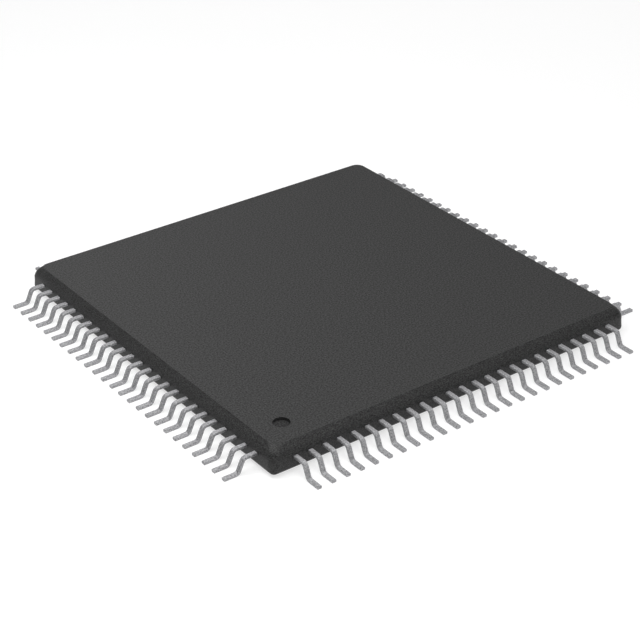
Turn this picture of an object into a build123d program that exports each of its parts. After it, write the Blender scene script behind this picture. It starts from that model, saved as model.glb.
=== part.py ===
from build123d import *
import math
import os

os.makedirs("parts", exist_ok=True)

# A thin plastic quad flat package with 100 gull-wing leads, 25 on each side.
# Lengths are millimetres. Z = 0 is the board under the feet, and pin 1 is at the -X, -Y corner.

# Lead frame, outside the moulding
lead_pitch = 0.50
leads_per_side = 25
lead_width = 0.15
lead_thickness = 0.09
lead_span = 15.80
leg_angle = 66
foot_length = 0.484
bend_radius = 0.13

# Moulding
body_width = 13.58
standoff = 0.06
lower_mould_height = 0.375
upper_mould_height = 0.375
lower_draft = 5
upper_draft = 5
bevel_angle = 45
top_inset = 0.23
shoulder_radius = 0.40
corner_radius = 0.26
pin_one_diameter = 0.52
pin_one_depth = 0.10
pin_one_inset = 0.875
ejector_mark_diameter = 1.10
ejector_mark_depth = 0.03
ejector_mark_spacing = 13.00

# Lead frame, inside the moulding
tip_pitch = 0.28
tip_width = 0.13
tip_ring_width = 8.00
paddle_width = 5.60
downset = 0.175
tie_bar_width = 0.30
tie_bar_end_cover = 0.20
tie_bar_ramp_start = 4.60
tie_bar_ramp_length = 0.50

# Chip and its wires
attach_width = 5.00
attach_thickness = 0.02
die_width = 4.80
die_thickness = 0.20
pad_pitch = 0.18
pad_inset = 0.10
wire_thickness = 0.03
wire_loop_height = 0.14
wire_weld_length = 0.06
wire_weld_inset = 0.15

# Heights that follow from the sizes above
lead_bottom = standoff + lower_mould_height
lead_top = lead_bottom + lead_thickness
body_top = lead_top + upper_mould_height
paddle_bottom = lead_bottom - downset
paddle_top = paddle_bottom + lead_thickness
die_bottom = paddle_top + attach_thickness
die_top = die_bottom + die_thickness

# Positions that follow from the sizes above
body_half = body_width / 2
corner_axis = body_half - corner_radius
top_half = body_half - top_inset
bottom_half = body_half - lower_mould_height * math.tan(math.radians(lower_draft))
span_half = lead_span / 2
side_count = 4
quarter_turn = 360 / side_count
lead_numbers = [i - (leads_per_side - 1) / 2 for i in range(leads_per_side)]


def wall_section(axis_position, plane):
    """Half section of the moulding from an upright axis out to its wall, with the axis at 0."""
    draft = math.tan(math.radians(upper_draft))
    bevel = math.tan(math.radians(bevel_angle))
    crown_drop = (top_inset - upper_mould_height * draft) / (bevel - draft)
    crown = (top_half + crown_drop * bevel - axis_position, body_top - crown_drop)
    top_edge = (top_half - axis_position, body_top)
    land_top = (body_half - axis_position, lead_top)
    land_bottom = (body_half - axis_position, lead_bottom)
    bottom_edge = (bottom_half - axis_position, standoff)
    with BuildSketch(plane) as section:
        with BuildLine():
            FilletPolyline(top_edge, crown, land_top, radius=shoulder_radius)
            Polyline(land_top, land_bottom, bottom_edge, (0, standoff), (0, body_top), top_edge)
        make_face()
    return section.sketch


# One gull-wing lead from the moulding's wall to its toe, on the -Y side at X = 0
lead_middle = lead_bottom + lead_thickness / 2
foot_middle = lead_thickness / 2
heel_position = span_half - foot_length
shoulder_position = heel_position - lead_bottom / math.tan(math.radians(leg_angle))
lead_side_plane = Plane(origin=(0, 0, 0), x_dir=(0, -1, 0), z_dir=(-1, 0, 0))

with BuildLine(lead_side_plane) as rounded_lead:
    FilletPolyline(
        (body_half, lead_middle),
        (shoulder_position, lead_middle),
        (heel_position, foot_middle),
        (span_half, foot_middle),
        radius=bend_radius,
    )
wall_end = rounded_lead.line @ 0
toe_end = rounded_lead.line @ 1
bends = rounded_lead.edges().filter_by(GeomType.CIRCLE).sort_by(Axis.Z, reverse=True)

# There are 100 leads, so each bend is creased at its two ends and its middle, on the true arc
with BuildPart() as gull_wing:
    with BuildLine() as creased_lead:
        Polyline(wall_end, *[bend @ place for bend in bends for place in (0, 0.5, 1)], toe_end)
    with BuildSketch(Plane(origin=wall_end, x_dir=(1, 0, 0), z_dir=(0, -1, 0))):
        Rectangle(lead_width, lead_thickness)
    sweep(path=creased_lead.line, transition=Transition.RIGHT)

# The first row of 25 leads, each with its inner finger fanning in towards the chip
tip_half = tip_ring_width / 2
with BuildPart() as first_row:
    with Locations(*[(n * lead_pitch, 0, 0) for n in lead_numbers]):
        add(gull_wing.part)
    with BuildSketch(Plane.XY.offset(lead_bottom)):
        for n in lead_numbers:
            root = (n * lead_pitch, -body_half)
            tip = (n * tip_pitch, -tip_half)
            with BuildLine():
                Polyline(
                    (root[0] - lead_width / 2, root[1]),
                    (root[0] + lead_width / 2, root[1]),
                    (tip[0] + tip_width / 2, tip[1]),
                    (tip[0] - tip_width / 2, tip[1]),
                    close=True,
                )
            make_face()
    extrude(amount=lead_thickness)

# The first row's 25 bond wires, from the pads on the die up over a loop and down to the fingers
with BuildPart() as first_wires:
    for n in lead_numbers:
        pad = Vector(n * pad_pitch, -(die_width / 2 - pad_inset), 0)
        root = Vector(n * lead_pitch, -body_half, 0)
        tip = Vector(n * tip_pitch, -tip_half, 0)
        weld = tip + (root - tip).normalized() * wire_weld_inset
        reach = (weld - pad).length
        along = (weld - pad).normalized()
        across = along.cross(Vector(0, 0, 1))
        wire_plane = Plane(origin=pad - across * wire_thickness / 2, x_dir=along, z_dir=across)
        loop_top = die_top + wire_loop_height
        with BuildSketch(wire_plane):
            with BuildLine():
                Polyline(
                    (0, die_top),
                    (wire_thickness, die_top),
                    (wire_thickness, loop_top - wire_thickness),
                    (reach - wire_weld_length, lead_top),
                    (reach, lead_top),
                    (0, loop_top),
                    close=True,
                )
            make_face()
    extrude(amount=wire_thickness)

# The paddle under the chip, sunk below the leads and hung from the four corners by its tie bars
with BuildPart() as tie_bar:
    diagonal_plane = Plane(origin=(0, 0, 0), x_dir=(1, 1, 0), z_dir=(1, -1, 0))
    bar_end = corner_axis * math.sqrt(2) + corner_radius - tie_bar_end_cover
    ramp_end = tie_bar_ramp_start + tie_bar_ramp_length
    with BuildSketch(diagonal_plane.offset(-tie_bar_width / 2)):
        with BuildLine():
            Polyline(
                (0, paddle_bottom),
                (tie_bar_ramp_start, paddle_bottom),
                (ramp_end, lead_bottom),
                (bar_end, lead_bottom),
                (bar_end, lead_top),
                (ramp_end, lead_top),
                (tie_bar_ramp_start, paddle_top),
                (0, paddle_top),
                close=True,
            )
        make_face()
    extrude(amount=tie_bar_width)

with BuildPart() as die_paddle:
    with BuildSketch(Plane.XY.offset(paddle_bottom)):
        Rectangle(paddle_width, paddle_width)
    extrude(amount=lead_thickness)
    with PolarLocations(0, side_count):
        add(tie_bar.part)
die_paddle.part.label = "die_paddle"
export_step(die_paddle.part, "parts/die_paddle.step")

with BuildPart() as die_attach:
    with BuildSketch(Plane.XY.offset(paddle_top)):
        Rectangle(attach_width, attach_width)
    extrude(amount=attach_thickness)
die_attach.part.label = "die_attach"
export_step(die_attach.part, "parts/die_attach.step")

with BuildPart() as silicon_die:
    with BuildSketch(Plane.XY.offset(die_bottom)):
        Rectangle(die_width, die_width)
    extrude(amount=die_thickness)
silicon_die.part.label = "silicon_die"
export_step(silicon_die.part, "parts/silicon_die.step")

# The other three rows are the first row turned about Z, so pins run counter-clockwise from above
inner_pieces = [die_paddle.part, die_attach.part, silicon_die.part]
for side in range(side_count):
    first_pin = side * leads_per_side + 1
    last_pin = first_pin + leads_per_side - 1
    turn = (0, 0, side * quarter_turn)
    with BuildPart() as lead_row:
        add(first_row.part, rotation=turn)
    lead_row.part.label = f"leads_{first_pin}_to_{last_pin}"
    export_step(lead_row.part, f"parts/{lead_row.part.label}.step")
    with BuildPart() as wire_row:
        add(first_wires.part, rotation=turn)
    wire_row.part.label = f"bond_wires_{first_pin}_to_{last_pin}"
    export_step(wire_row.part, f"parts/{wire_row.part.label}.step")
    inner_pieces += [lead_row.part, wire_row.part]

# The moulding is cast round everything above, in two halves that meet at the lead frame
with BuildPart() as side_wedge:
    extrude(wall_section(0, Plane.XZ.offset(corner_axis)), amount=2 * corner_axis, dir=(0, 1, 0))

with BuildPart() as corner_post:
    revolve(wall_section(corner_axis, Plane.XZ), axis=Axis.Z)

with BuildPart() as mold_body:
    with PolarLocations(0, side_count):
        add(side_wedge.part)
    with GridLocations(2 * corner_axis, 2 * corner_axis, 2, 2):
        add(corner_post.part)
    with BuildSketch(Plane.XY.offset(body_top)):
        with Locations((pin_one_inset - top_half, pin_one_inset - top_half)):
            Circle(pin_one_diameter / 2)
    extrude(amount=-pin_one_depth, mode=Mode.SUBTRACT)
    with BuildSketch(Plane.XY.offset(standoff)):
        with PolarLocations(ejector_mark_spacing / 2, 2, start_angle=-45):
            Circle(ejector_mark_diameter / 2)
    extrude(amount=ejector_mark_depth, mode=Mode.SUBTRACT)
    add(inner_pieces, mode=Mode.SUBTRACT)
mold_body.part.label = "mold_body"
export_step(mold_body.part, "parts/mold_body.step")
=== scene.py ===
# %% [markdown]
# This scene dresses a thin quad flat package: a square block of black moulding compound with 25
# gull-wing leads along each of its four sides. The solids come ready from CAD at their real size.
# Here they get rounded edges, true bends and finishes, a camera and soft studio light.

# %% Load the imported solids
import math

import bmesh
import bpy
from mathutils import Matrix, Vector


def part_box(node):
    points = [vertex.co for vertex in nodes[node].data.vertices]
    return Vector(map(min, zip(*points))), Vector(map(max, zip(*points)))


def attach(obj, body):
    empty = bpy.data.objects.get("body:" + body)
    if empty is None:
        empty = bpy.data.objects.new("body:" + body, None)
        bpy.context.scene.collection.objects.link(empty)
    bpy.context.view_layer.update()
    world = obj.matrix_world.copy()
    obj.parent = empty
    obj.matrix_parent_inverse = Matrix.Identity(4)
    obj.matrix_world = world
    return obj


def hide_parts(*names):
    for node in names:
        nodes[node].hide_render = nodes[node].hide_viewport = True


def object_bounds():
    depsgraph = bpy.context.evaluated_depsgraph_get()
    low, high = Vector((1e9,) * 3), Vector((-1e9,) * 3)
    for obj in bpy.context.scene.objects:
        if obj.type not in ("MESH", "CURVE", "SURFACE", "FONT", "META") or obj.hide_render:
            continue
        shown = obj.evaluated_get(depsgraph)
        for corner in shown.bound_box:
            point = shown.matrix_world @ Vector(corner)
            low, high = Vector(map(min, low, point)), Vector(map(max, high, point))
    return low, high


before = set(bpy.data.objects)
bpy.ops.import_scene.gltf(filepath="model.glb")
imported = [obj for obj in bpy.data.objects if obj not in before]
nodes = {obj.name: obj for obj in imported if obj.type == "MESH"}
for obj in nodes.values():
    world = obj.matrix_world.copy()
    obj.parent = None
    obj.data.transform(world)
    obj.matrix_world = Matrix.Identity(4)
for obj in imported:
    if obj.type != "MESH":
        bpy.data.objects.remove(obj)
mm = 0.001
cad_box = [list(corner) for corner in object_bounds()]
cad_size = [round((high - low) / mm, 3) for low, high in zip(*cad_box)]
print("the CAD model measures", cad_size, "mm")

# %% [markdown]
# Everything that is added has to fit the solids, so its sizes are read from their boxes. The block's
# box gives its half width, its underside and its top. A row of leads gives the toe, the height of the
# lead frame and the inner tips, and the pitch follows from the row's length.

# %% Read the sizes from the solids
body_low, body_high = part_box("mold_body")
row_low, row_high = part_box("leads_1_to_25")
side_count = 4
leads_per_side = 25
lead_width = 0.15 * mm
lead_thickness = 0.09 * mm
body_half = body_high.x
body_bottom = body_low.z
body_top = body_high.z
lead_top = row_high.z
lead_bottom = lead_top - lead_thickness
toe = -row_low.y
finger_tip = -row_high.y
lead_pitch = (row_high.x - row_low.x - lead_width) / (leads_per_side - 1)
print("lead pitch", round(lead_pitch / mm, 3), "mm, toe at", round(toe / mm, 3), "mm")

# %% [markdown]
# The photograph looks down on one corner from 30 degrees above the board through a long lens. The
# camera aims just beside the package's centre, and its place follows from the two angles and the
# distance. The lens is a focal length on Blender's 36 mm sensor, for a square picture.

# %% Camera at the photograph's viewing angle
view_azimuth = math.radians(-36.76)
view_elevation = math.radians(30.0)
view_distance = 57.07 * mm
aim = Vector((-0.452, -0.487, 0)) * mm
lens_mm = 100.76
sensor_mm = 36


def view_direction(azimuth, elevation):
    """The way from the package to a viewer. Azimuth 0 is the front, -Y, and 90 the right, +X."""
    level = math.cos(elevation)
    return Vector((math.sin(azimuth) * level, -math.cos(azimuth) * level, math.sin(elevation)))


back = view_direction(view_azimuth, view_elevation)
bpy.ops.object.camera_add(location=aim + back * view_distance)
camera = bpy.context.object
camera.name = "camera"
camera.rotation_euler = (-back).to_track_quat("-Z", "Y").to_euler()
camera.data.lens = lens_mm
camera.data.sensor_width = sensor_mm
camera.data.clip_start = 1 * mm
camera.data.clip_end = 2
bpy.context.scene.camera = camera
print("the camera stands at", [round(v / mm, 2) for v in camera.location], "mm")

# %% [markdown]
# A material is a set of nodes, and Blender works in linear light. So one helper turns a hex colour,
# as a picture editor gives it, into linear values, and one makes a material with its surface shader.

# %% Material helpers
def linear(hex_colour):
    """An sRGB hex colour such as "#4b4b4b" as linear red, green, blue and alpha."""
    channels = [int(hex_colour[i:i + 2], 16) / 255 for i in (1, 3, 5)]
    return [c / 12.92 if c <= 0.04045 else ((c + 0.055) / 1.055) ** 2.4 for c in channels] + [1]


def new_material(name):
    """A material with a plain surface shader, and that shader."""
    material = bpy.data.materials.new(name)
    material.use_nodes = True
    return material, material.node_tree.nodes["Principled BSDF"]


# %% [markdown]
# The picture is a product view on white, with hardly a shadow. A white floor under lamps alone would
# show shadows between the leads, so this one also gives light of its own, as a light table does.

# %% Floor
floor_size = 1.2
bpy.ops.mesh.primitive_plane_add(size=floor_size, location=(0, 0, 0))
floor = bpy.context.object
floor.name = "floor"
floor_paint, floor_shader = new_material("pale studio floor")
floor_shader.inputs["Base Color"].default_value = linear("#a8a8a8")
floor_shader.inputs["Roughness"].default_value = 0.9
floor_shader.inputs["Specular IOR Level"].default_value = 0.0
floor_shader.inputs["Emission Color"].default_value = linear("#ffffff")
floor_shader.inputs["Emission Strength"].default_value = 0.64
floor.data.materials.append(floor_paint)
print("the floor is", floor_size, "m wide")

# %% [markdown]
# Soft boxes stand round the package, each named for its place, and point at it. The overhead, front
# and right ones light the top and the leads, and the low ones reach the walls and the steep legs.
# Those behind show as a dull sheen in the top face. The small near one makes that face lighter
# towards the left, as in the photograph. The sky stays dark, so nothing else adds to them.

# %% Soft boxes and sky
# name, azimuth and elevation in degrees, distance and width in metres, watts
soft_boxes = [
    ("overhead", 0, 90, 0.35, 0.30, 0.300),
    ("front", 0, 45, 0.30, 0.20, 0.310),
    ("right", 90, 45, 0.30, 0.20, 0.130),
    ("low right", 33, 19, 0.30, 0.20, 0.060),
    ("behind", 143, 40, 0.30, 0.20, 0.120),
    ("behind left", 165, 26, 0.30, 0.12, 0.080),
    ("far left", 205, 26, 0.30, 0.12, 0.015),
    ("near the left", -88, 66, 0.038, 0.03, 0.010),
    ("low left", -135, 12, 0.30, 0.20, 0.055),
]
for name, azimuth, elevation, distance, width, watts in soft_boxes:
    away = view_direction(math.radians(azimuth), math.radians(elevation))
    bpy.ops.object.light_add(type="AREA", location=away * distance)
    box = bpy.context.object
    box.name = "soft box " + name
    box.data.shape = "SQUARE"
    box.data.size = width
    box.data.energy = watts
    box.rotation_euler = (-away).to_track_quat("-Z", "Y").to_euler()

world = bpy.data.worlds.new("dark studio")
bpy.context.scene.world = world
world.use_nodes = True
world.node_tree.nodes["Background"].inputs["Strength"].default_value = 0.0
bpy.context.scene.view_settings.view_transform = "Standard"
print("soft boxes:", len(soft_boxes))

# %% [markdown]
# Pieces are modelled as by hand, with edit mode operators. An operator acts on all that is selected,
# so these helpers select first: by a test on where an edge or a face lies, or which way it faces.
# Two places within a hair count as the same. A face looks along an axis if that part of its normal,
# which is 1 for a square look, is above the value called facing.

# %% Modelling helpers
hair = 0.001 * mm
facing = 0.95


def only(piece):
    """Makes a piece the only selected object."""
    bpy.ops.object.select_all(action="DESELECT")
    piece.select_set(True)
    bpy.context.view_layer.objects.active = piece


def pick(piece, kind, test):
    """In edit mode, selects only the edges or faces that pass the test, and says how many."""
    bpy.ops.mesh.select_mode(type="EDGE" if kind == "edges" else "FACE")
    bpy.ops.mesh.select_all(action="DESELECT")
    mesh = bmesh.from_edit_mesh(piece.data)
    chosen = [part for part in getattr(mesh, kind) if test(part)]
    for part in chosen:
        part.select_set(True)
    mesh.select_flush_mode()
    bmesh.update_edit_mesh(piece.data)
    return len(chosen)


# %% [markdown]
# The block is cast in two mould halves that close on the lead frame. Its outline is widest there and
# shrinks both ways: downwards almost not at all, and upwards over a drafted wall, a rounded shoulder
# and a 45 degree bevel. The section of that upper wall is worked out first, as a list of points
# inwards and upwards.

# %% Section of the block's wall
top_inset = 0.23 * mm
shoulder_radius = 0.40 * mm
shoulder_steps = 8
upper_draft = math.radians(5)
lower_draft = math.radians(1)
bevel_angle = math.radians(45)
upper_height = body_top - lead_top
lower_height = lead_bottom - body_bottom


def arc(start, radius, angle_from, angle_to, steps):
    """Points of an arc in a (inward, upward) section. The angles are the tangent's, from upright."""
    points = []
    for i in range(steps + 1):
        angle = angle_from + (angle_to - angle_from) * i / steps
        inward = start[0] + radius * (math.cos(angle_from) - math.cos(angle))
        upward = start[1] + radius * (math.sin(angle) - math.sin(angle_from))
        points.append((inward, upward))
    return points


steepness = math.tan(bevel_angle) - math.tan(upper_draft)
crown_drop = (top_inset - upper_height * math.tan(upper_draft)) / steepness
crown = (top_inset - crown_drop * math.tan(bevel_angle), upper_height - crown_drop)
shoulder_reach = shoulder_radius * math.tan((bevel_angle - upper_draft) / 2)
shoulder_start = (
    crown[0] - shoulder_reach * math.sin(upper_draft),
    crown[1] - shoulder_reach * math.cos(upper_draft),
)
upper_wall = [(0, 0)]
upper_wall += arc(shoulder_start, shoulder_radius, upper_draft, bevel_angle, shoulder_steps)
upper_wall += [(top_inset, upper_height)]
print("the wall's section has", len(upper_wall), "points")

# %% [markdown]
# An inset that also lifts the face makes one step of such a wall all the way round. So the block
# starts as the thin slab between the mould halves, and is inset step by step, up and down. Its four
# corners come out sharp, and one bevel along all the corner edges rounds them from top to bottom, as
# the cutter that milled the mould would. A fine bevel takes the sharpness off the top edge.

# %% Block of moulding compound
corner_radius = 0.26 * mm
corner_segments = 8
top_edge_rounding = 0.01 * mm
top_edge_segments = 2


def on_corner(edge):
    """Whether an edge climbs over one of the block's four corners."""
    diagonal = all(abs(abs(v.co.x) - abs(v.co.y)) < hair for v in edge.verts)
    return diagonal and edge.calc_length() < body_half


def is_cap(face, way):
    """Whether a face is the block's whole top, for a way of 1, or its underside, for -1."""
    return face.normal.z * way > facing and face.calc_area() > body_half ** 2


bpy.ops.mesh.primitive_cube_add(size=1, location=(0, 0, (lead_top + lead_bottom) / 2))
block = bpy.context.object
block.name = "moulding"
block.scale = (2 * body_half, 2 * body_half, lead_thickness)
bpy.ops.object.transform_apply(location=True, rotation=True, scale=True)

bpy.ops.object.mode_set(mode="EDIT")
pick(block, "faces", lambda face: face.normal.z > facing)
for low, high in zip(upper_wall, upper_wall[1:]):
    bpy.ops.mesh.inset(thickness=high[0] - low[0], depth=high[1] - low[1])
pick(block, "faces", lambda face: face.normal.z < -facing)
bpy.ops.mesh.inset(thickness=lower_height * math.tan(lower_draft), depth=lower_height)
print("corner edges:", pick(block, "edges", on_corner))
bpy.ops.mesh.bevel(offset=corner_radius, segments=corner_segments)
for height, way in ((body_bottom, -1), (body_top, 1)):
    pick(block, "faces", lambda face: is_cap(face, way))
    bpy.ops.transform.resize(value=(1, 1, 0), center_override=(0, 0, height))
bpy.ops.mesh.region_to_loop()
bpy.ops.mesh.bevel(offset=top_edge_rounding, segments=top_edge_segments)

# %% [markdown]
# In the photograph the block stays wide low down: its corners get sharper towards the underside, and
# then a rounded edge leads in to it. So each of the underside's four corners is scaled towards its
# own sharp point, which narrows its radius there, and a wider bevel rounds the bottom edge.

# %% Lower corners and bottom edge
lower_corner_radius = 0.15 * mm
bottom_edge_rounding = 0.14 * mm
bottom_edge_segments = 4
bottom_half = body_half - lower_height * math.tan(lower_draft)
sharper = lower_corner_radius / corner_radius


def in_corner(vertex, x, y):
    """Whether a point of the underside lies in the rounded corner on the sides x and y, 1 or -1."""
    reach = bottom_half - corner_radius - hair
    beyond = vertex.co.x * x > reach and vertex.co.y * y > reach
    return beyond and vertex.co.z < body_bottom + hair


for x, y in ((1, 1), (1, -1), (-1, 1), (-1, -1)):
    pick(block, "edges", lambda edge: all(in_corner(v, x, y) for v in edge.verts))
    sharp_point = (x * bottom_half, y * bottom_half, body_bottom)
    bpy.ops.transform.resize(value=(sharper, sharper, 1), center_override=sharp_point)
pick(block, "faces", lambda face: is_cap(face, -1))
bpy.ops.mesh.region_to_loop()
bpy.ops.mesh.bevel(offset=bottom_edge_rounding, segments=bottom_edge_segments)
bpy.ops.object.mode_set(mode="OBJECT")
block_size = [round(v / mm, 3) for v in block.dimensions]
print("the block has", len(block.data.polygons), "faces and measures", block_size, "mm")

# %% [markdown]
# A round dimple in the top shows which corner pin 1 is at, and the two discs underneath are left by
# the pins that push the block out of the mould. Each is cut with a cylinder, because a Boolean leaves
# the flat face whole round it. Weighted normals then keep the large flat faces from looking bent.

# %% Pin 1 mark and ejector marks
pin_one_radius = 0.26 * mm
pin_one_depth = 0.10 * mm
pin_one_place = -5.685 * mm
ejector_radius = 0.55 * mm
ejector_depth = 0.03 * mm
ejector_place = 6.5 * mm / math.sqrt(2)
disc_sides = 64
block_smooth_angle = math.radians(25)


def sink_disc(piece, x, y, face_height, radius, depth):
    """Sinks a round recess into a level face, from the face's height down or up by the depth."""
    bpy.ops.mesh.primitive_cylinder_add(
        vertices=disc_sides, radius=radius, depth=2 * depth, location=(x, y, face_height)
    )
    cutter = bpy.context.object
    only(piece)
    cut = piece.modifiers.new("recess", "BOOLEAN")
    cut.object = cutter
    cut.operation = "DIFFERENCE"
    cut.solver = "EXACT"
    bpy.ops.object.modifier_apply(modifier=cut.name)
    bpy.data.objects.remove(cutter)


sink_disc(block, pin_one_place, pin_one_place, body_top, pin_one_radius, pin_one_depth)
for side in (1, -1):
    x, y = side * ejector_place, -side * ejector_place
    sink_disc(block, x, y, body_bottom, ejector_radius, ejector_depth)
only(block)
bpy.ops.object.shade_smooth_by_angle(angle=block_smooth_angle)
steady = block.modifiers.new("weighted normals", "WEIGHTED_NORMAL")
steady.keep_sharp = True
bpy.ops.object.modifier_apply(modifier=steady.name)
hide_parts("mold_body")
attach(block, "root")
print("the block has", len(block.data.polygons), "faces with its marks")

# %% [markdown]
# A gull-wing lead leaves the block level, bends down at its shoulder, runs down a steep leg and bends
# level again into the foot that is soldered to the board. It is stamped from flat strip and formed in
# a press, so its section stays the same: an oblong whose edges the plating rounds a little. A curve
# with a bevel could make it, but it pinches in tight bends. Here the end face is drawn out for each
# straight and spun for each bend, as the press does it, which keeps the section exact.

# %% Course of a lead
leg_angle = math.radians(66)
bend_radius = 0.13 * mm
bend_steps = 4
foot_length = 0.484 * mm

lead_middle = (lead_top + lead_bottom) / 2
foot_middle = lead_thickness / 2
bend_reach = bend_radius * math.tan(leg_angle / 2)
heel = toe - foot_length
shoulder = heel - lead_bottom / math.tan(leg_angle)
leg_length = lead_bottom / math.sin(leg_angle) - 2 * bend_reach
outward = Vector((0, -1, 0))
down_the_leg = Vector((0, -math.cos(leg_angle), -math.sin(leg_angle)))
print("the leg's straight part is", round(leg_length / mm, 3), "mm long")


def draw_out(direction, length):
    """Draws the selected end face out in a straight line."""
    bpy.ops.mesh.extrude_region()
    bpy.ops.transform.translate(value=direction * length)


def bend(angle, y, z):
    """Turns the selected end face round a level axis, in steps. A positive angle bends downwards."""
    bpy.ops.mesh.spin(steps=bend_steps, angle=-angle, center=(0, y, z), axis=(1, 0, 0))


# %% [markdown]
# The lead starts as a bar from its inner tip to the block's wall, whose four long edges are bevelled
# before anything is drawn out, so that every later stretch has the same rounded section. Its inner
# end is narrowed to the finger's tip, and the outer end is formed into the shoulder, leg and foot.

# %% One lead, from its inner tip to its toe
tip_width = 0.13 * mm
edge_rounding = 0.012 * mm
lead_smooth_angle = math.radians(30)
tip_scale = (tip_width / lead_width, 1, 1)

bpy.ops.mesh.primitive_cube_add(size=1, location=(0, -(body_half + finger_tip) / 2, lead_middle))
lead = bpy.context.object
lead.scale = (lead_width, body_half - finger_tip, lead_thickness)
bpy.ops.object.transform_apply(location=True, rotation=True, scale=True)

bpy.ops.object.mode_set(mode="EDIT")
pick(lead, "edges", lambda edge: abs(edge.verts[0].co.y - edge.verts[1].co.y) > hair)
bpy.ops.mesh.bevel(offset=edge_rounding, segments=1)
pick(lead, "faces", lambda face: face.normal.y > facing)
bpy.ops.transform.resize(value=tip_scale, center_override=(0, -finger_tip, lead_middle))
pick(lead, "faces", lambda face: face.normal.y < -facing)
draw_out(outward, shoulder - bend_reach - body_half)
bend(leg_angle, bend_reach - shoulder, lead_middle - bend_radius)
draw_out(down_the_leg, leg_length)
bend(-leg_angle, -heel - bend_reach, foot_middle + bend_radius)
draw_out(outward, toe - heel - bend_reach)
bpy.ops.object.mode_set(mode="OBJECT")
bpy.ops.object.shade_smooth_by_angle(angle=lead_smooth_angle)
lows = [min(v.co[axis] for v in lead.data.vertices) / mm for axis in range(3)]
print("one lead has", len(lead.data.polygons), "faces, its lows are", [round(v, 4) for v in lows])

# %% [markdown]
# Outside the block the leads stand 0.50 mm apart. Inside it they fan in towards the chip, where their
# tips are 0.28 mm apart. So each copy is moved to its place, and then its tip is moved back by the
# difference. The finished row is copied and turned for the other three sides.

# %% Four rows of leads
tip_pitch = 0.28 * mm
row_leads = []
for i in range(leads_per_side):
    n = i - (leads_per_side - 1) / 2
    only(lead)
    bpy.ops.object.duplicate()
    copy = bpy.context.object
    bpy.ops.object.mode_set(mode="EDIT")
    bpy.ops.mesh.select_all(action="SELECT")
    bpy.ops.transform.translate(value=(n * lead_pitch, 0, 0))
    pick(copy, "faces", lambda face: face.normal.y > facing)
    bpy.ops.transform.translate(value=(n * (tip_pitch - lead_pitch), 0, 0))
    bpy.ops.object.mode_set(mode="OBJECT")
    row_leads.append(copy)

bpy.data.objects.remove(lead)
only(row_leads[0])
for copy in row_leads:
    copy.select_set(True)
bpy.ops.object.join()
first_row = bpy.context.object
rows = [first_row]
for side in range(1, side_count):
    only(first_row)
    bpy.ops.object.duplicate()
    row = bpy.context.object
    row.rotation_euler = (0, 0, side * math.radians(90))
    bpy.ops.object.transform_apply(location=True, rotation=True, scale=True)
    rows.append(row)

for side, row in enumerate(rows):
    pins = f"{side * leads_per_side + 1}_to_{(side + 1) * leads_per_side}"
    row.name = "formed_leads_" + pins
    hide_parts("leads_" + pins)
    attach(row, "root")
print("each row has", len(first_row.data.polygons), "faces")

# %% [markdown]
# Moulding compound is epoxy filled with silica grains, black with soot. The mould's walls are spark
# eroded, so the block comes out matt and finely pitted, with no clear reflections. A noise pattern
# gives the pits, and it also sets the colour: dark in the pits' low points and light on their rims.
# That is painted shade and light of the pits, over a fine uneven tone. The real pits are 0.01 to
# 0.02 mm wide, too fine to show here, so the pattern is drawn at 0.05 mm. A Mapping node makes it
# 0.02 mm high on the walls. The camera sees their height almost in full, and the top only by half,
# so the grain looks alike on both.

# %% Moulding compound
def add_node(material, kind, links=None, **settings):
    """Adds one node. Its settings are properties or socket values, and links join sockets to it."""
    node = material.node_tree.nodes.new(kind)
    for name, value in settings.items():
        if hasattr(node, name):
            setattr(node, name, value)
        else:
            node.inputs[name.replace("_", " ")].default_value = value
    for name, source in (links or {}).items():
        material.node_tree.links.new(source, node.inputs[name])
    return node


compound, compound_shader = new_material("epoxy moulding compound")
pit_size = 0.05 * mm
pit_depth = 0.01 * mm
wall_pit_height = 0.02 * mm
squeeze = (1, 1, pit_size / wall_pit_height)
place = add_node(compound, "ShaderNodeTexCoord").outputs["Object"]
flatter = add_node(compound, "ShaderNodeMapping", {"Vector": place}, Scale=squeeze)
flat_place = flatter.outputs["Vector"]
pits = add_node(
    compound, "ShaderNodeTexNoise", {"Vector": flat_place}, Scale=1 / pit_size, Detail=3.0
).outputs["Fac"]
# Dark where the pits are deep and light on their rims: painted shade and light of the pits, over the
# compound's own uneven tone.
tone = add_node(compound, "ShaderNodeValToRGB", {"Fac": pits})
tone.color_ramp.elements[0].position = 0.35
tone.color_ramp.elements[1].position = 0.65
tone.color_ramp.elements[0].color = linear("#111111")
tone.color_ramp.elements[1].color = linear("#3c3c3c")
relief = add_node(compound, "ShaderNodeBump", {"Height": pits}, Strength=0.5, Distance=pit_depth)
compound.node_tree.links.new(tone.outputs["Color"], compound_shader.inputs["Base Color"])
compound.node_tree.links.new(relief.outputs["Normal"], compound_shader.inputs["Normal"])
compound_shader.inputs["Roughness"].default_value = 0.5
compound_shader.inputs["Specular IOR Level"].default_value = 0.25
block.data.materials.append(compound)
print(compound.name, "has", len(compound.node_tree.nodes), "nodes")

# %% [markdown]
# The pin 1 mark is left by the end of a steel pin, which is eroded more coarsely than the mould's
# wall. So it is the same compound, but rougher: it has less of the sheen that lightens the top from
# this side, and it looks darker and more even. Its colour ramp is narrower, so the painted shade and
# light of its pits is fainter. The finish is a copy of the block's, in its own slot.

# %% Rough finish of the pin 1 mark
rough_compound = compound.copy()
rough_compound.name = "coarsely eroded moulding compound"
rough_nodes = rough_compound.node_tree.nodes
# A narrower ramp, so the painted shade and light of the pits is fainter here.
rough_nodes["Color Ramp"].color_ramp.elements[0].color = linear("#1a1a1a")
rough_nodes["Color Ramp"].color_ramp.elements[1].color = linear("#3a3a3a")
rough_nodes["Principled BSDF"].inputs["Roughness"].default_value = 0.9
block.data.materials.append(rough_compound)


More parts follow.
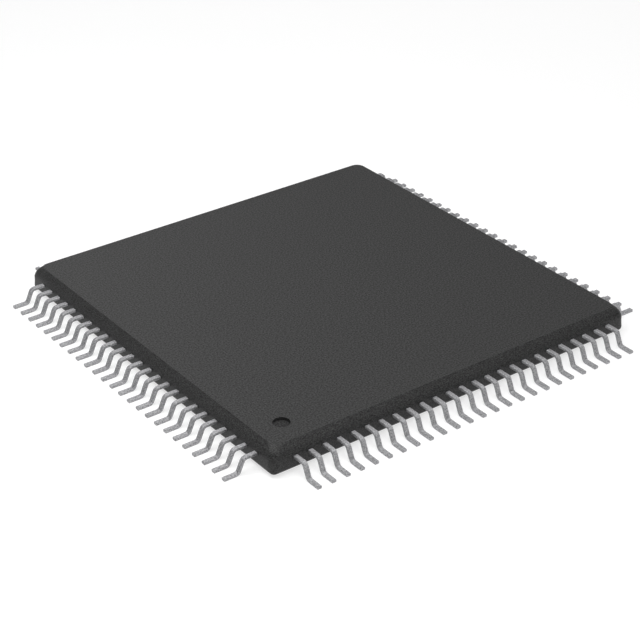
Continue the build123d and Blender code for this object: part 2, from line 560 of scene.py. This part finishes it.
def in_pin_one(face):
    """Whether a face belongs to the pin 1 mark."""
    middle = face.calc_center_median()
    off_centre = math.hypot(middle.x - pin_one_place, middle.y - pin_one_place)
    sunk = body_top - 2 * pin_one_depth < middle.z < body_top - hair
    return sunk and off_centre < pin_one_radius + hair


only(block)
bpy.ops.object.mode_set(mode="EDIT")
print("faces of the pin 1 mark:", pick(block, "faces", in_pin_one))
block.active_material_index = 1
bpy.ops.object.material_slot_assign()
bpy.ops.object.mode_set(mode="OBJECT")

# %% [markdown]
# The leads are copper alloy strip with matt tin plated on. Tin lies down as fine grains, so it gives a
# soft, pale grey sheen and no mirror image, and it is a little uneven where the forming tool pressed
# it. The grains are about 0.005 mm, too fine to show here, so the mottling is drawn at 0.04 mm.

# %% Matt tin plate
tin, tin_shader = new_material("matt tin plate")
tin_grain = 0.04 * mm
grain_height = 0.004 * mm
place = add_node(tin, "ShaderNodeTexCoord").outputs["Object"]
grains = add_node(
    tin, "ShaderNodeTexNoise", {"Vector": place}, Scale=1 / tin_grain, Detail=2.0
).outputs["Fac"]
tone = add_node(tin, "ShaderNodeValToRGB", {"Fac": grains})
tone.color_ramp.elements[0].position = 0.3
tone.color_ramp.elements[1].position = 0.7
tone.color_ramp.elements[0].color = linear("#8a8a8c")
tone.color_ramp.elements[1].color = linear("#c6c6c8")
relief = add_node(tin, "ShaderNodeBump", {"Height": grains}, Strength=0.2, Distance=grain_height)
tin.node_tree.links.new(tone.outputs["Color"], tin_shader.inputs["Base Color"])
tin.node_tree.links.new(relief.outputs["Normal"], tin_shader.inputs["Normal"])
tin_shader.inputs["Metallic"].default_value = 1.0
tin_shader.inputs["Roughness"].default_value = 0.65
for row in rows:
    row.data.materials.append(tin)
print(tin.name, "is on", len(rows), "rows of leads")

# %% [markdown]
# The chip and what carries it are closed in by the block, but they are seen when the block is hidden,
# so they get their own finishes. The paddle is bare copper strip, and rolling leaves fine streaks in
# it. The noise is squeezed across the strip with a Mapping node, which draws it out along the strip.

# %% Rolled copper strip
def wear(node_name, material):
    """Gives a CAD solid a material in place of its plain one."""
    nodes[node_name].data.materials.clear()
    nodes[node_name].data.materials.append(material)
    print(node_name, "is now", material.name)


copper, copper_shader = new_material("rolled copper strip")
streak_width = 0.03 * mm
streak_stretch = 20
squeeze = (1, streak_stretch, streak_stretch)
streak_scale = 1 / (streak_width * streak_stretch)
place = add_node(copper, "ShaderNodeTexCoord").outputs["Object"]
along = add_node(copper, "ShaderNodeMapping", {"Vector": place}, Scale=squeeze).outputs["Vector"]
streaks = add_node(
    copper, "ShaderNodeTexNoise", {"Vector": along}, Scale=streak_scale, Detail=2.0
).outputs["Fac"]
tone = add_node(copper, "ShaderNodeValToRGB", {"Fac": streaks})
tone.color_ramp.elements[0].color = linear("#b06f4e")
tone.color_ramp.elements[1].color = linear("#d08f6c")
copper.node_tree.links.new(tone.outputs["Color"], copper_shader.inputs["Base Color"])
copper_shader.inputs["Metallic"].default_value = 1.0
copper_shader.inputs["Roughness"].default_value = 0.35
wear("die_paddle", copper)

# %% [markdown]
# The chip is glued down with epoxy full of silver flakes, a dull grey paste that glints a little. Each
# cell of a Voronoi pattern stands for one flake of about 0.02 mm.

# %% Silver-filled epoxy
silver_glue, glue_shader = new_material("silver-filled epoxy")
flake_size = 0.02 * mm
place = add_node(silver_glue, "ShaderNodeTexCoord").outputs["Object"]
flakes = add_node(silver_glue, "ShaderNodeTexVoronoi", {"Vector": place}, Scale=1 / flake_size)
grey = add_node(silver_glue, "ShaderNodeRGBToBW", {"Color": flakes.outputs["Color"]})
tone = add_node(silver_glue, "ShaderNodeValToRGB", {"Fac": grey.outputs["Val"]})
tone.color_ramp.elements[0].color = linear("#8e8e8c")
tone.color_ramp.elements[1].color = linear("#b6b6b4")
silver_glue.node_tree.links.new(tone.outputs["Color"], glue_shader.inputs["Base Color"])
glue_shader.inputs["Metallic"].default_value = 0.6
glue_shader.inputs["Roughness"].default_value = 0.5
wear("die_attach", silver_glue)

# %% [markdown]
# A silicon chip is dark and glossy, and its rows of circuits give it a faint grain of oblong blocks. A
# brick pattern with thin joints draws them: blocks 0.12 mm long and half as high.

# %% Patterned silicon
silicon, silicon_shader = new_material("patterned silicon")
block_length = 0.12 * mm
place = add_node(silicon, "ShaderNodeTexCoord").outputs["Object"]
circuits = add_node(silicon, "ShaderNodeTexBrick", {"Vector": place}, Scale=1 / block_length)
circuits.offset = 0
circuits.inputs["Color1"].default_value = linear("#4a505c")
circuits.inputs["Color2"].default_value = linear("#5c6272")
circuits.inputs["Mortar"].default_value = linear("#30343c")
circuits.inputs["Brick Width"].default_value = 1.0
circuits.inputs["Row Height"].default_value = 0.5
circuits.inputs["Mortar Size"].default_value = 0.03
silicon.node_tree.links.new(circuits.outputs["Color"], silicon_shader.inputs["Base Color"])
silicon_shader.inputs["Roughness"].default_value = 0.25
silicon_shader.inputs["IOR"].default_value = 1.9
wear("silicon_die", silicon)

# %% [markdown]
# Bond wire is drawn from nearly pure gold. Drawing leaves it smooth and bright, so only a faint change
# of tone along the wire keeps it from looking like paint.

# %% Drawn gold wire
gold, gold_shader = new_material("drawn gold wire")
shade_length = 0.05 * mm
place = add_node(gold, "ShaderNodeTexCoord").outputs["Object"]
shades = add_node(
    gold, "ShaderNodeTexNoise", {"Vector": place}, Scale=1 / shade_length, Detail=1.0
).outputs["Fac"]
tone = add_node(gold, "ShaderNodeValToRGB", {"Fac": shades})
tone.color_ramp.elements[0].color = linear("#e0ad45")
tone.color_ramp.elements[1].color = linear("#f2c664")
gold.node_tree.links.new(tone.outputs["Color"], gold_shader.inputs["Base Color"])
gold_shader.inputs["Metallic"].default_value = 1.0
gold_shader.inputs["Roughness"].default_value = 0.2
for name in nodes:
    if name.startswith("bond_wires"):
        wear(name, gold)
